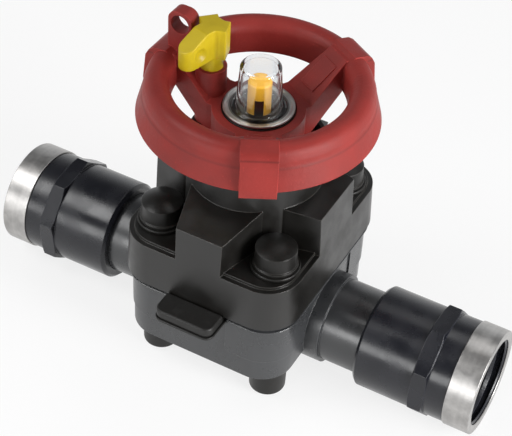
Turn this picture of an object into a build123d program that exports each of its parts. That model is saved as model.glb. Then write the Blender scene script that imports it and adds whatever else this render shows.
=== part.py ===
from build123d import *
from math import cos, radians, sin
import os

# A hand-operated weir diaphragm valve, DN25, in millimetres.
# The origin is on the mounting pad, below the stem. +X is the flow axis, +Z is the stem.

# Clearances
fit_gap = 0.08
seal_gap = 0.05
glue_gap = 0.05

# Flow path
axis_height = 20.5
pipe_radius = 16.0
bore_radius = 12.5
spigot_length = 77.0
root_collar_radius = 17.3
root_collar_end = 38.0
bowl_half_x = 22.0
bowl_half_y = 17.0
bowl_floor_drop = 2.0
weir_crest_rise = 9.0
weir_top_half = 3.5
weir_foot_half = 12.0

# Body block, heights measured from the flow axis
block_half_x = 32.5
block_half_y = 38.9
block_corner = 12.5
block_foot_drop = 5.0
column_proud = 0.5
column_foot_rise = 4.5
column_gap_x = 11.5
column_gap_y = 17.5
lip_half_x = 34.0
lip_half_y = 40.4
lip_corner = 13.5
lip_foot_rise = 20.5
lip_height = 2.3
recess_half_x = 29.3
recess_half_y = 35.3
recess_corner = 8.0

# Mounting pad and its inserts
pad_half_x = 20.0
pad_half_y = 11.0
pad_corner = 3.0
insert_spacing = 25.0
insert_radius = 4.5
insert_bore = 2.5
insert_depth = 6.0

# Diaphragm
rubber_floor_drop = 3.8
rubber_thickness = 3.0
rubber_edge_gap = 0.3
dome_radius = 17.5
dome_lift = 3.0
tab_half_width = 11.75
tab_reach = 51.5
tab_corner = 2.5
tab_side_gap = 0.6

# Bolts
bolt_x = 23.0
bolt_y = 26.0
bolt_radius = 3.0
bolt_hole = 3.3
bolt_head_across = 10.0
bolt_head_height = 4.0
bolt_tail = 4.2
nut_height = 5.2
top_washer_radius = 8.9
bottom_washer_radius = 6.0
washer_thickness = 1.5

# Bolt covers
top_cap_radius = 7.45
top_cap_flange = 8.5
top_cap_flange_height = 1.3
top_cap_straight = 8.6
top_cap_dome = 2.4
top_cap_bore = 6.1
bottom_cap_top_radius = 7.1
bottom_cap_foot_radius = 6.8
bottom_cap_height = 14.3
bottom_cap_bore = 6.2
cap_wall = 1.6

# Bonnet
bonnet_half_x = 34.5
bonnet_half_y = 41.2
bonnet_corner = 14.0
bonnet_draft = 2.4
bonnet_gap = 0.2
ledge_height = 17.6
ledge_width = 1.9
pocket_floor_step = 1.1
arm_y_half_outer = 8.5
arm_y_half_inner = 14.2
arm_y_inner = 21.0
arm_y_edge_drop = 4.4
arm_x_half_outer = 12.3
arm_x_half_inner = 15.6
arm_x_inner = 20.5
arm_x_edge_drop = 1.3
shoulder_height = 17.9
collar_radius = 25.0
collar_height = 13.2
collar_wall = 1.6
collar_floor_height = 2.0
chamber_roof = 4.0
chamber_radius = 18.5
guide_groove_reach = 21.2
guide_groove_half = 2.5

# Bearing of the bush
bearing_radius = 12.5
thrust_thickness = 1.5
bush_flange_radius = 12.2
bush_flange_height = 4.8
bearing_nut_radius = 14.0
bearing_nut_height = 6.5
play = 0.1

# Bush
bush_radius = 8.0
bush_hex_across = 14.5
bush_tip_radius = 7.2
bush_counterbore = 5.0
bush_counterbore_depth = 15.6

# Spindle and indicator
spindle_radius = 4.0
spindle_socket = 3.6
spindle_tip_radius = 2.5
spindle_tip_cover = 4.6
indicator_radius = 4.2
indicator_foot_drop = 2.2
indicator_height = 14.1
indicator_slot_width = 3.2
indicator_slot_height = 8.0
indicator_slot_depth = 1.5
indicator_slot_angle = -62.0

# Compressor
compressor_radius = 16.0
compressor_lift = 0.4
compressor_crown = 3.4
compressor_height = 14.6
compressor_hub_radius = 7.5
compressor_plate = 2.6
fin_count = 8
fin_thickness = 2.6
guide_clearance = 0.35
cross_pin_radius = 2.0
cross_pin_length = 13.0
cross_pin_height = 7.1
stud_radius = 2.5
stud_height = 3.2

# Seals
ring_section = 1.2

# Lock ring
lock_ring_inner = 15.2
lock_ring_height = 7.5
notch_count = 12
notch_width = 4.9
notch_depth = 5.4
notch_inner = 16.8
notch_outer = 22.3

# Handwheel rim
skirt_flare = 7.5
skirt_foot_height = 10.8
crease_step = 5.8
crease_height = 8.0
roll_centre_radius = 35.3
roll_centre_height = 10.7
roll_radius = 4.5
roll_end_angle = 20.0
rim_wall = 2.0
rim_inner_foot_height = 2.6

# Handwheel hub, spokes and lugs
spoke_angles = (178.5, 58.5, -61.5)
hub_radius = 16.4
hub_gap = 0.5
hub_height = 12.5
hub_pocket_radius = 13.2
hub_pocket_depth = 2.1
spoke_half_hub = 7.9
spoke_half_rim = 5.3
spoke_rim_drop = 0.8
spoke_depth = 12.5
spoke_plate = 3.0
spoke_wall = 2.3
panel_width = 7.6
panel_length = 12.0
panel_height = 0.5
lug_half_width = 6.3
lug_shoulder_proud = 0.1
lug_edge_proud = 1.3
lug_edge_drop = 2.2
lug_outer_proud = 0.9
lug_heel_height = 0.6
lug_foot_proud = 0.3
lug_foot_drop = 2.2
lug_proud = 0.4
lug_start_reach = 2.6

# Padlock ear
ear_inset = 4.3
ear_half_width = 4.7
ear_thickness = 5.2
ear_hole_height = 10.4
ear_hole_radius = 3.6
ear_crown = 4.9
ear_corner = 3.6
ear_root_depth = 2.7

# Lock barrel, key and pin
barrel_distance = 19.5
barrel_radius = 5.5
barrel_height = 22.8
key_foot_radius = 4.1
key_foot_depth = 8.4
key_head_gap = 5.0
key_head_height = 12.0
key_core_radius = 4.7
key_lobe_angles = (-105.0, 15.0, 135.0)
key_lobe_width = 6.6
key_lobe_reach = 5.6
key_wing_reach = 14.8
key_wing_drop = 4.6
key_groove_radius = 1.6
pin_radius = 2.2
pin_head_radius = 3.9
pin_head_height = 1.9
pin_travel = 5.0
pin_tip_gap = 0.6
pin_guide_height = 2.0
spring_wire = 0.8
spring_turns = 4.5
spring_end_gap = 0.1

# Hub nut, steel disc and clear cap
hub_nut_radius = 12.95
hub_nut_height = 2.4
disc_radius = 12.72
disc_hole = 9.9
disc_thickness = 1.1
clear_flange_radius = 9.6
clear_flange_height = 1.0
clear_foot_radius = 8.3
clear_top_radius = 7.2
clear_headroom = 6.4
clear_wall = 1.3
clear_edge = 0.8

# Adaptors and their steel rings
spigot_entry = 23.7
adaptor_radius = 19.6
adaptor_chamfer = 1.2
stop_gap = 0.3
stop_width = 1.7
stop_bore = 12.6
thread_wall_radius = 15.15
thread_mouth_radius = 16.4
thread_mouth_depth = 1.25
flange_lap = 0.9
flange_width = 6.0
flange_across = 40.0
flange_round = 21.35
flange_chamfer = 0.9
flange_turn = 16.8
ring_overhang = 22.7
ring_width = 10.1
ring_radius = 20.15
ring_wall = 0.8
ring_lip = 0.65
ring_mouth = 16.6

# Places along the flow, from the spigots' ends
adaptor_start = spigot_length - spigot_entry
socket_stop = spigot_length + stop_gap
flange_start = spigot_length - flange_lap
flange_end = flange_start + flange_width
ring_end = spigot_length + ring_overhang
ring_start = ring_end - ring_width

# Radii of the wheel, from the middle of the roll
rim_inner_radius = roll_centre_radius - roll_radius
crease_radius = roll_centre_radius + crease_step
skirt_foot_radius = roll_centre_radius + skirt_flare
lug_shoulder_radius = crease_radius + lug_shoulder_proud
lug_edge_radius = crease_radius + lug_edge_proud
lug_outer_radius = skirt_foot_radius + lug_outer_proud
lug_foot_radius = skirt_foot_radius + lug_foot_proud
ear_centre = roll_centre_radius - ear_inset

# Heights in the part's frame
axis = axis_height
block_foot = axis - block_foot_drop
lip_foot = axis + lip_foot_rise
lip_top = lip_foot + lip_height
rubber_floor = lip_top - rubber_floor_drop
rubber_top = rubber_floor + rubber_thickness
weir_crest = axis + weir_crest_rise
weir_depth = rubber_floor - weir_crest
stroke = weir_depth + dome_lift
saddle_radius = (bowl_half_y ** 2 + weir_depth ** 2) / (2 * weir_depth)
saddle_centre = weir_crest + saddle_radius
bonnet_foot = lip_top + bonnet_gap
ledge = bonnet_foot + ledge_height
pocket_floor = ledge + pocket_floor_step
shoulder = ledge + shoulder_height
collar_top = shoulder + collar_height
collar_floor = shoulder + collar_floor_height
bearing_nut_foot = collar_floor - bearing_nut_height
upper_washer_foot = bearing_nut_foot - thrust_thickness
bush_flange_top = upper_washer_foot - play
bush_foot = bush_flange_top - bush_flange_height
bearing_floor = bush_foot - play - thrust_thickness
chamber_top = bearing_floor - chamber_roof
compressor_foot = rubber_top + dome_lift + compressor_lift
compressor_top = compressor_foot + compressor_height
spindle_foot = compressor_foot + spindle_socket
cross_pin_level = compressor_foot + cross_pin_height
hub_foot = collar_top + hub_gap
hub_top = hub_foot + hub_height
hub_nut_foot = hub_top - hub_pocket_depth
hub_nut_top = hub_nut_foot + hub_nut_height
indicator_foot = hub_top - indicator_foot_drop
indicator_top = indicator_foot + indicator_height
spindle_tip_top = indicator_top - spindle_tip_cover
clear_top = indicator_top + clear_headroom
cap_seat = pocket_floor + washer_thickness
nut_top = block_foot - washer_thickness
skirt_foot = hub_foot + skirt_foot_height
crease = skirt_foot + crease_height
roll_centre = skirt_foot + roll_centre_height
roll_top = roll_centre + roll_radius
rim_inner_foot = skirt_foot + rim_inner_foot_height
spoke_rim = roll_top - spoke_rim_drop
lug_foot = skirt_foot - lug_foot_drop
ear_hole = roll_top + ear_hole_height
lock_ring_top = collar_floor + lock_ring_height
pin_tip = lock_ring_top + pin_tip_gap
barrel_top = hub_foot + barrel_height
key_foot = barrel_top - key_foot_depth
key_head_foot = barrel_top + key_head_gap
key_top = key_head_foot + key_head_height
spring_seat = hub_foot + pin_guide_height
pin_head_top = key_foot - play
pin_head_foot = pin_head_top - pin_head_height


def rod(radius, bottom, top):
    return Pos(0, 0, bottom) * extrude(Circle(radius), top - bottom)


def ring(outer, inner, bottom, top):
    return Pos(0, 0, bottom) * extrude(Circle(outer) - Circle(inner), top - bottom)


def hexagon(across, bottom, top):
    return Pos(0, 0, bottom) * extrude(RegularPolygon(across / 2, 6, major_radius=False), top - bottom)


def rounded_block(half_x, half_y, corner, bottom, top, draft=0.0):
    outline = RectangleRounded(2 * half_x, 2 * half_y, corner)
    return Pos(0, 0, bottom) * extrude(outline, top - bottom, taper=draft)


def box(x0, x1, y0, y1, z0, z1):
    centre = Pos((x0 + x1) / 2, (y0 + y1) / 2, (z0 + z1) / 2)
    return centre * Box(x1 - x0, y1 - y0, z1 - z0)


def spin(points):
    """Turn a closed outline of (radius, height) points about the Z axis."""
    return revolve(Plane.XZ * make_face(Polyline(points, close=True)), Axis.Z)


def toroid(centre_radius, section_radius, height):
    return revolve(Plane.XZ * (Pos(centre_radius, height) * Circle(section_radius)), Axis.Z)


def lay_along_x(shape):
    """Turn a piece made upright so that its top points along +X at the flow axis."""
    return Pos(0, 0, axis) * (Rot(0, 90, 0) * shape)


def four_corners():
    return [(sx * bolt_x, sy * bolt_y) for sx in (1, -1) for sy in (1, -1)]


def at_bolts(shape):
    return [Pos(x, y, 0) * shape for x, y in four_corners()]


def bolt_holes(radius, bottom, top):
    return at_bolts(rod(radius, bottom, top))


def side_profile(points, half_width):
    """Extrude an outline of (radius, height) points evenly to both sides of the XZ plane."""
    return extrude(Plane.XZ * make_face(Polyline(points, close=True)), half_width, both=True)


def plan_shape(points, bottom, top):
    return Pos(0, 0, bottom) * extrude(make_face(Polyline(points, close=True)), top - bottom)


def saddle(radius, centre_height):
    """A long cylinder along the flow axis that hollows out the weir's crest."""
    return Pos(0, 0, centre_height) * (Rot(0, 90, 0) * Cylinder(radius, 6 * bowl_half_x))


def weir_wall():
    foot = axis - pipe_radius
    flank_top = weir_crest - weir_top_half
    top = rubber_floor
    outline = [(-weir_top_half, top), (-weir_top_half, flank_top), (-weir_foot_half, foot),
               (weir_foot_half, foot), (weir_top_half, flank_top), (weir_top_half, top)]
    wall = side_profile(outline, bowl_half_y + 1)
    return wall - saddle(saddle_radius, saddle_centre)


def body_flow_space():
    bore = lay_along_x(rod(bore_radius, -spigot_length - 1, spigot_length + 1))
    bowl_floor = axis - bowl_floor_drop
    bowl = Pos(0, 0, bowl_floor) * extrude(Ellipse(bowl_half_x, bowl_half_y), rubber_floor - bowl_floor)
    return bore + bowl - weir_wall()


def body_columns():
    foot = axis + column_foot_rise
    top = lip_foot
    proud = rounded_block(block_half_x + column_proud, block_half_y + column_proud,
                          block_corner + column_proud, foot, top)
    proud -= box(-column_gap_x, column_gap_x, -lip_half_y, lip_half_y, foot, top)
    proud -= box(-lip_half_x, lip_half_x, -column_gap_y, column_gap_y, foot, top)
    return proud


def make_valve_body():
    block = rounded_block(block_half_x, block_half_y, block_corner, block_foot, lip_foot)
    lip = rounded_block(lip_half_x, lip_half_y, lip_corner, lip_foot, lip_top)
    pipe = lay_along_x(rod(pipe_radius, -spigot_length, spigot_length))
    root = lay_along_x(rod(root_collar_radius, -root_collar_end, root_collar_end))
    pad = rounded_block(pad_half_x, pad_half_y, pad_corner, 0, block_foot)
    body = block + body_columns() + lip + pipe + root + pad
    body -= body_flow_space()
    body -= rounded_block(recess_half_x, recess_half_y, recess_corner, rubber_floor, bonnet_foot)
    notch_half = tab_half_width + tab_side_gap
    body -= box(-notch_half, notch_half, -tab_reach, -recess_half_y + recess_corner,
                rubber_floor, bonnet_foot)
    body -= bolt_holes(bolt_hole, block_foot - 1, bonnet_foot)
    for side in (1, -1):
        body -= Pos(side * insert_spacing / 2, 0, 0) * rod(insert_radius, 0, insert_depth)
    return body


def make_base_inserts():
    insert = ring(insert_radius, insert_bore, 0, insert_depth)
    return [Pos(side * insert_spacing / 2, 0, 0) * insert for side in (1, -1)]


def diaphragm_dome():
    outline = Polyline([(dome_radius, rubber_top), (dome_radius, rubber_floor)])
    outline += ThreePointArc((dome_radius, rubber_floor),
                             (dome_radius / 2, rubber_floor + 0.75 * dome_lift),
                             (0, rubber_floor + dome_lift))
    outline += Line((0, rubber_floor + dome_lift), (0, rubber_top + dome_lift))
    outline += ThreePointArc((0, rubber_top + dome_lift),
                             (dome_radius / 2, rubber_top + 0.75 * dome_lift),
                             (dome_radius, rubber_top))
    return revolve(Plane.XZ * make_face(outline), Axis.Z)


def make_diaphragm():
    half_x = recess_half_x - rubber_edge_gap
    half_y = recess_half_y - rubber_edge_gap
    sheet = rounded_block(half_x, half_y, recess_corner, rubber_floor, rubber_top)
    sheet -= rod(dome_radius, rubber_floor, rubber_top)
    sheet -= bolt_holes(bolt_hole + play, rubber_floor, rubber_top)
    tab_length = tab_reach - half_y + recess_corner
    tab_plan = RectangleRounded(2 * tab_half_width, tab_length, tab_corner)
    tab = Pos(0, tab_length / 2 - tab_reach, rubber_floor) * extrude(tab_plan, rubber_thickness)
    tab -= rod(dome_radius, rubber_floor, rubber_top)
    return sheet + tab + diaphragm_dome()


def bonnet_arms():
    """Four arms with ramped tops, cut to the drafted outline of the skirt."""
    foot = ledge
    top = shoulder
    y_out = bonnet_half_y + 1
    x_out = bonnet_half_x + 1
    y_edge = shoulder - arm_y_edge_drop
    x_edge = shoulder - arm_x_edge_drop
    y_plan = plan_shape([(-arm_y_half_outer, -y_out), (arm_y_half_outer, -y_out),
                         (arm_y_half_inner, -arm_y_inner), (arm_y_half_inner, arm_y_inner),
                         (arm_y_half_outer, y_out), (-arm_y_half_outer, y_out),
                         (-arm_y_half_inner, arm_y_inner), (-arm_y_half_inner, -arm_y_inner)], foot, top)
    x_plan = plan_shape([(-x_out, -arm_x_half_outer), (-x_out, arm_x_half_outer),
                         (-arm_x_inner, arm_x_half_inner), (arm_x_inner, arm_x_half_inner),
                         (x_out, arm_x_half_outer), (x_out, -arm_x_half_outer),
                         (arm_x_inner, -arm_x_half_inner), (-arm_x_inner, -arm_x_half_inner)], foot, top)
    x_side = side_profile([(-x_out, foot), (-x_out, x_edge), (-arm_x_inner, top),
                           (arm_x_inner, top), (x_out, x_edge), (x_out, foot)], y_out)
    y_side = Rot(0, 0, 90) * side_profile([(-y_out, foot), (-y_out, y_edge), (-arm_y_inner, top),
                                           (arm_y_inner, top), (y_out, y_edge), (y_out, foot)], x_out)
    arms = (y_plan & y_side) + (x_plan & x_side)
    envelope = rounded_block(bonnet_half_x, bonnet_half_y, bonnet_corner, bonnet_foot, top, bonnet_draft)
    return arms & envelope


def bonnet_inner_space():
    chamber = rod(chamber_radius, rubber_top, chamber_top)
    grooves = box(-guide_groove_reach, guide_groove_reach, -guide_groove_half, guide_groove_half,
                  rubber_top, chamber_top)
    stem_bore = rod(spindle_radius + fit_gap, rubber_top, collar_floor)
    bearing = rod(bearing_radius, bearing_floor, bearing_nut_foot)
    nut_seat = rod(bearing_nut_radius, bearing_nut_foot, collar_floor)
    collar_well = rod(collar_radius - collar_wall, collar_floor, collar_top)
    seal_groove = rod(spindle_radius + 2 * ring_section, bearing_floor - 2.4 * ring_section, bearing_floor)
    return chamber + grooves + stem_bore + bearing + nut_seat + collar_well + seal_groove


def make_bonnet():
    skirt = rounded_block(bonnet_half_x, bonnet_half_y, bonnet_corner,
                          bonnet_foot, ledge, bonnet_draft)
    inset = ledge_width
    floor = rounded_block(bonnet_half_x - inset, bonnet_half_y - inset, bonnet_corner - inset,
                          bonnet_foot, pocket_floor, bonnet_draft)
    land = rounded_block(recess_half_x - rubber_edge_gap, recess_half_y - rubber_edge_gap,
                         recess_corner, rubber_top, bonnet_foot)
    collar = rod(collar_radius, pocket_floor - 1, collar_top)
    bonnet = skirt + floor + land + bonnet_arms() + collar
    bonnet -= bonnet_inner_space()
    bonnet -= bolt_holes(bolt_hole, rubber_top - 1, pocket_floor + 1)
    return bonnet


def make_bonnet_bolts():
    bottom = nut_top - nut_height - bolt_tail
    bolt = rod(bolt_radius, bottom, cap_seat) + hexagon(bolt_head_across, cap_seat, cap_seat + bolt_head_height)
    return at_bolts(bolt)


def make_bolt_nuts():
    nut = hexagon(bolt_head_across, nut_top - nut_height, nut_top) - rod(bolt_radius, nut_top - nut_height, nut_top)
    return at_bolts(nut)


def make_top_washers():
    return at_bolts(ring(top_washer_radius, bolt_hole, pocket_floor, cap_seat))


def make_bottom_washers():
    return at_bolts(ring(bottom_washer_radius, bolt_hole, nut_top, block_foot))


def make_top_caps():
    crown = cap_seat + top_cap_straight + top_cap_dome
    cap = rod(top_cap_radius, cap_seat, crown)
    cap = fillet(cap.edges().group_by(Axis.Z)[-1], top_cap_dome)
    cap += rod(top_cap_flange, cap_seat, cap_seat + top_cap_flange_height)
    cap -= rod(top_cap_bore, cap_seat, crown - cap_wall - top_cap_dome / 2)
    return at_bolts(cap)


def make_bottom_caps():
    foot = block_foot - bottom_cap_height
    soft = cap_wall / 2
    cap = spin([(0, foot), (bottom_cap_foot_radius - soft, foot), (bottom_cap_foot_radius, foot + soft),
                (bottom_cap_top_radius, block_foot), (0, block_foot)])
    cap -= rod(bottom_cap_bore, foot + cap_wall, block_foot)
    return at_bolts(cap)


def make_lower_thrust_washer():
    return ring(bearing_radius - fit_gap, spindle_radius + fit_gap, bearing_floor, bearing_floor + thrust_thickness)


def make_upper_thrust_washer():
    return ring(bearing_radius - fit_gap, bush_radius + fit_gap,
                upper_washer_foot, upper_washer_foot + thrust_thickness)


def make_bearing_nut():
    nut = ring(bearing_nut_radius - seal_gap, bush_radius + fit_gap, bearing_nut_foot, collar_floor)
    groove_foot = collar_floor - 3.4 * ring_section
    nut -= ring(bush_radius + 2 * ring_section, bush_radius, groove_foot, groove_foot + 2.4 * ring_section)
    return nut


def make_bush_o_ring():
    return toroid(bush_radius + ring_section + seal_gap, ring_section - seal_gap, collar_floor - 2.2 * ring_section)


def make_spindle_o_ring():
    return toroid(spindle_radius + ring_section + seal_gap, ring_section - seal_gap,
                  bearing_floor - 1.2 * ring_section)


def make_lock_ring():
    outer = collar_radius - collar_wall - fit_gap
    body = ring(outer, lock_ring_inner, collar_floor, lock_ring_top)
    for index in range(notch_count):
        turn = spoke_angles[0] + index * 360 / notch_count
        body -= Rot(0, 0, turn) * box(notch_inner, notch_outer, -notch_width / 2, notch_width / 2,
                                      lock_ring_top - notch_depth, lock_ring_top)
    return body


def make_threaded_bush():
    tip_foot = hub_nut_foot
    bush = rod(bush_flange_radius, bush_foot, bush_flange_top) + rod(bush_radius, bush_flange_top, hub_foot)
    bush += hexagon(bush_hex_across, hub_foot, tip_foot) + rod(bush_tip_radius, tip_foot, hub_nut_top - play)
    bush -= rod(spindle_radius + fit_gap, bush_foot, hub_nut_top)
    bush -= rod(bush_counterbore, hub_nut_foot - bush_counterbore_depth, hub_nut_top)
    return bush


def make_spindle():
    spindle = rod(spindle_radius, spindle_foot, indicator_foot)
    spindle += rod(spindle_tip_radius, indicator_foot, spindle_tip_top)
    spindle -= cross_pin_bore(cross_pin_level)
    return spindle


def cross_pin_bore(height):
    bore = Rot(90, 0, 0) * Cylinder(cross_pin_radius + seal_gap, 2 * compressor_radius)
    return Pos(0, 0, height) * bore


def make_position_indicator():
    foot = indicator_foot
    top = indicator_top
    piece = rod(indicator_radius, foot, top)
    piece = chamfer(piece.edges().group_by(Axis.Z)[-1], 0.5)
    piece -= rod(spindle_tip_radius + seal_gap, foot, spindle_tip_top + play)
    slot = box(indicator_radius - indicator_slot_depth, indicator_radius + 1,
               -indicator_slot_width / 2, indicator_slot_width / 2, foot, foot + indicator_slot_height)
    return piece - Rot(0, 0, indicator_slot_angle) * slot


def compressor_envelope():
    foot = compressor_foot
    top = compressor_top
    edge = foot + compressor_crown
    outline = ThreePointArc((0, foot), (compressor_radius / 2, foot + compressor_crown / 4),
                            (compressor_radius, edge))
    outline += Polyline([(compressor_radius, edge), (compressor_radius, top), (0, top), (0, foot)])
    return revolve(Plane.XZ * make_face(outline), Axis.Z)


def make_compressor():
    foot = compressor_foot
    top = compressor_top
    envelope = compressor_envelope() & saddle(saddle_radius - rubber_thickness - play, saddle_centre + stroke)
    plate = envelope & rod(compressor_radius, foot, foot + compressor_crown + compressor_plate)
    fins = rod(compressor_hub_radius, foot, top)
    for index in range(fin_count // 2):
        blade = box(-compressor_radius, compressor_radius, -fin_thickness / 2, fin_thickness / 2, foot, top)
        fins += Rot(0, 0, index * 360 / fin_count) * blade
    reach = guide_groove_reach - guide_clearance
    half = guide_groove_half - guide_clearance
    piece = plate + (envelope & fins)
    piece += box(-reach, reach, -half, half, rubber_top + stroke + 4 * play, top)
    piece -= rod(spindle_radius + seal_gap, spindle_foot, top)
    piece -= rod(stud_radius + seal_gap, foot - 1, foot + stud_height)
    piece -= cross_pin_bore(cross_pin_level)
    return piece


def make_compressor_pin():
    return Pos(0, 0, cross_pin_level) * (Rot(90, 0, 0) * Cylinder(cross_pin_radius, cross_pin_length))


def make_diaphragm_stud():
    foot = rubber_top + dome_lift + play
    return rod(stud_radius, foot, compressor_foot + stud_height)


def rim_outline():
    """Section of the rim: an inner wall, a round top, a sloping wall and a flared skirt."""
    c_r = roll_centre_radius
    c_z = roll_centre
    inner = roll_radius - rim_wall
    turn = radians(roll_end_angle)
    inner_foot = rim_inner_foot
    out_end = (c_r + roll_radius * cos(turn), c_z + roll_radius * sin(turn))
    in_end = (c_r + inner * cos(turn), c_z + inner * sin(turn))
    outline = Line((c_r - roll_radius, inner_foot), (c_r - roll_radius, c_z))
    outline += ThreePointArc((c_r - roll_radius, c_z), (c_r, c_z + roll_radius), out_end)
    outline += Polyline([out_end, (crease_radius, crease), (skirt_foot_radius, skirt_foot),
                         (skirt_foot_radius - rim_wall, skirt_foot), (crease_radius - rim_wall, crease), in_end])
    outline += ThreePointArc(in_end, (c_r, c_z + inner), (c_r - inner, c_z))
    outline += Polyline([(c_r - inner, c_z), (c_r - inner, inner_foot), (c_r - roll_radius, inner_foot)])
    return outline


def rim_hollow():
    c_r = roll_centre_radius
    c_z = roll_centre
    inner = roll_radius - rim_wall
    turn = radians(roll_end_angle)
    foot = lug_foot - 1
    in_end = (c_r + inner * cos(turn), c_z + inner * sin(turn))
    outline = ThreePointArc(in_end, (c_r, c_z + inner), (c_r - inner, c_z))
    outline += Polyline([(c_r - inner, c_z), (c_r - inner, foot), (skirt_foot_radius - rim_wall, foot),
                         (skirt_foot_radius - rim_wall, skirt_foot),
                         (crease_radius - rim_wall, crease), in_end])
    return revolve(Plane.XZ * make_face(outline), Axis.Z)


def spoke(angle):
    inner_wall = rim_inner_radius
    root = hub_radius - 3
    end = roll_centre_radius
    rim_top = spoke_rim
    rim_foot = rim_top - spoke_depth
    low = hub_foot
    outline = [(root, low), (root, hub_top), (hub_radius, hub_top), (inner_wall + 0.6, rim_top),
               (end, rim_top), (end, rim_foot + 3), (inner_wall, rim_foot), (hub_radius, low)]
    side = side_profile(outline, spoke_half_hub + 1)
    half_end = spoke_half_rim
    plan = plan_shape([(root, -spoke_half_hub), (hub_radius, -spoke_half_hub), (inner_wall, -half_end),
                       (end, -half_end), (end, half_end), (inner_wall, half_end),
                       (hub_radius, spoke_half_hub), (root, spoke_half_hub)], low, rim_top)
    beam = side & plan
    core_low = low - spoke_plate
    core_outline = [(hub_radius, core_low), (hub_radius, hub_top - spoke_plate - 1),
                    (inner_wall, rim_top - spoke_plate - 1), (inner_wall, rim_foot - spoke_plate)]
    core_side = side_profile(core_outline, spoke_half_hub)
    inset = spoke_wall
    core_plan = plan_shape([(hub_radius, inset - spoke_half_hub), (inner_wall, inset - half_end),
                            (inner_wall, half_end - inset), (hub_radius, spoke_half_hub - inset)],
                           core_low, rim_top)
    return Rot(0, 0, angle) * (beam - (core_side & core_plan))


def spoke_panel(angle):
    """A plain raised panel on the ramp of a spoke."""
    inner_wall = rim_inner_radius
    run = inner_wall + 0.6 - hub_radius
    rise = spoke_rim - hub_top
    length = (run ** 2 + rise ** 2) ** 0.5
    across = (-rise / length, run / length)
    start = ((length - panel_length) / 2) / length
    stop = 1 - start
    low = (hub_radius + run * start, hub_top + rise * start)
    high = (hub_radius + run * stop, hub_top + rise * stop)
    outline = [(low[0] - across[0], low[1] - across[1]), (high[0] - across[0], high[1] - across[1]),
               (high[0] + panel_height * across[0], high[1] + panel_height * across[1]),
               (low[0] + panel_height * across[0], low[1] + panel_height * across[1])]
    return Rot(0, 0, angle) * side_profile(outline, panel_width / 2)


def lug(angle):
    """A flat band over the roll and down the outside, standing proud of the skirt."""
    start = roll_centre_radius - lug_start_reach
    top = roll_top + lug_proud
    foot = lug_foot
    outline = [(start, roll_top - rim_wall), (start, spoke_rim), (roll_centre_radius - 1, top),
               (lug_shoulder_radius, top), (lug_edge_radius, top - lug_edge_drop),
               (lug_outer_radius, skirt_foot + lug_heel_height), (lug_foot_radius, foot),
               (lug_foot_radius - 2 * rim_wall, foot), (roll_centre_radius + 1, roll_centre)]
    return Rot(0, 0, angle) * side_profile(outline, lug_half_width)


def padlock_ear():
    low = roll_top - ear_root_depth
    top = ear_hole + ear_crown
    plate = box(ear_centre - ear_half_width, ear_centre + ear_half_width,
                -ear_thickness / 2, ear_thickness / 2, low, top)
    plate = fillet(plate.edges().filter_by(Axis.Y).group_by(Axis.Z)[-1], ear_corner)
    hole = Rot(90, 0, 0) * Cylinder(ear_hole_radius, 2 * ear_thickness)
    plate -= Pos(ear_centre, 0, ear_hole) * hole
    return Rot(0, 0, spoke_angles[0]) * plate


def at_barrel(shape):
    return Rot(0, 0, spoke_angles[0]) * (Pos(barrel_distance, 0, 0) * shape)


def make_handwheel():
    wheel = revolve(Plane.XZ * make_face(rim_outline()), Axis.Z)
    wheel += rod(hub_radius, hub_foot, hub_top)
    for angle in spoke_angles:
        wheel += spoke(angle)
    for angle in spoke_angles:
        wheel += lug(angle)
    wheel -= rim_hollow()
    wheel += padlock_ear()
    wheel += at_barrel(rod(barrel_radius, hub_foot, barrel_top))
    wheel -= at_barrel(rod(key_foot_radius + fit_gap, spring_seat, barrel_top))
    wheel -= at_barrel(rod(pin_radius + fit_gap, hub_foot, spring_seat))
    wheel -= rod(hub_pocket_radius, hub_nut_foot, hub_top)
    wheel -= hexagon(bush_hex_across + 2 * seal_gap, hub_foot, hub_nut_foot)
    for angle in spoke_angles[1:]:
        wheel += spoke_panel(angle)
    return wheel


def make_hub_nut():
    return ring(hub_nut_radius, bush_tip_radius + seal_gap, hub_nut_foot, hub_nut_top)


def make_hub_disc():
    foot = hub_nut_top
    top = foot + disc_thickness
    lip = disc_thickness / 2
    return spin([(disc_hole, foot), (disc_radius - lip, foot), (disc_radius, foot + lip / 2),
                 (disc_radius, top - lip / 3), (disc_radius - lip / 2, top), (disc_radius - 1.6 * lip, top),
                 (disc_radius - 2.8 * lip, foot + lip), (disc_hole, foot + lip)])


def make_clear_cap():
    foot = hub_nut_top
    top = clear_top
    inner_top = clear_top_radius - clear_wall
    inner_foot = clear_foot_radius - clear_wall
    return spin([(inner_foot, foot), (clear_flange_radius, foot), (clear_flange_radius, foot + clear_flange_height),
                 (clear_foot_radius, foot + clear_flange_height), (clear_top_radius, top - clear_edge),
                 (clear_top_radius - clear_edge, top), (0, top), (0, top - clear_wall),
                 (inner_top, top - clear_wall)])


def key_lobe(angle, reach, drop):
    """A flat lobe of the key's head with a round end and, on the long wing, a falling top."""
    low = key_head_foot
    top = key_top
    end_radius = key_lobe_width / 2
    if drop > 0:
        straight = reach - end_radius
        plan = Pos(straight / 2, 0, 0) * Rectangle(straight, key_lobe_width)
        plan += Pos(straight, 0, 0) * Circle(end_radius)
    else:
        plan = Pos(reach / 2, 0, 0) * Rectangle(reach, key_lobe_width)
    blade = Pos(0, 0, low) * extrude(plan, top - low)
    slope = [(-1, low), (-1, top), (key_lobe_reach, top), (reach + 0.01, top - drop), (reach + 0.01, low)]
    return Rot(0, 0, angle) * (blade & side_profile(slope, key_lobe_width))


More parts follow.
